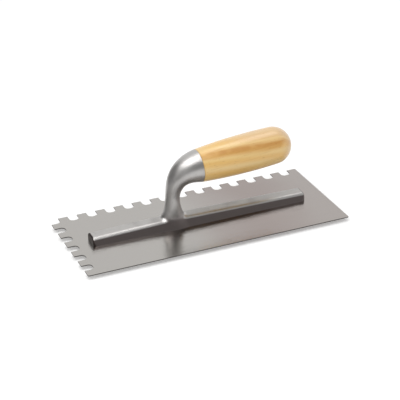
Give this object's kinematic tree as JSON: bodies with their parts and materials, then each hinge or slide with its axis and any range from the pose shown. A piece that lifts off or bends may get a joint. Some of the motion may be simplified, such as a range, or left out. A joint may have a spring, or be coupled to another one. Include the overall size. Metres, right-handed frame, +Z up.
{
  "type": "notched trowel",
  "caption": "Notched trowel: steel blade with square notches along a long and a short edge, riveted to a cast swan-neck mounting with a turned wooden handle.",
  "frame": {"origin": "middle of the blade's flat working face, on the surface that the tool rests on", "axes": "+X along the blade towards the handle's free end, +Y towards the notched long edge, +Z up, square to the working face"},
  "size_m": [0.28, 0.12, 0.0858],
  "materials": {
    "blade_steel": "ground and polished steel sheet with fine lengthwise scratches",
    "cast_aluminium": "satin tumbled casting",
    "lacquered_wood": "turned beech under clear lacquer",
    "plated_steel": "zinc plated",
    "rivet_steel": "ground flush with the blade"
  },
  "bodies": {
    "root": {"blade": "blade_steel", "mounting": "cast_aluminium", "handle": "lacquered_wood", "tie_rod": "plated_steel", "washer": "plated_steel", "nut": "plated_steel", "rivet_1": "rivet_steel", "rivet_2": "rivet_steel", "rivet_3": "rivet_steel", "rivet_4": "rivet_steel", "rivet_5": "rivet_steel", "rivet_6": "rivet_steel", "rivet_7": "rivet_steel", "rivet_8": "rivet_steel"}
  },
  "joints": []
}
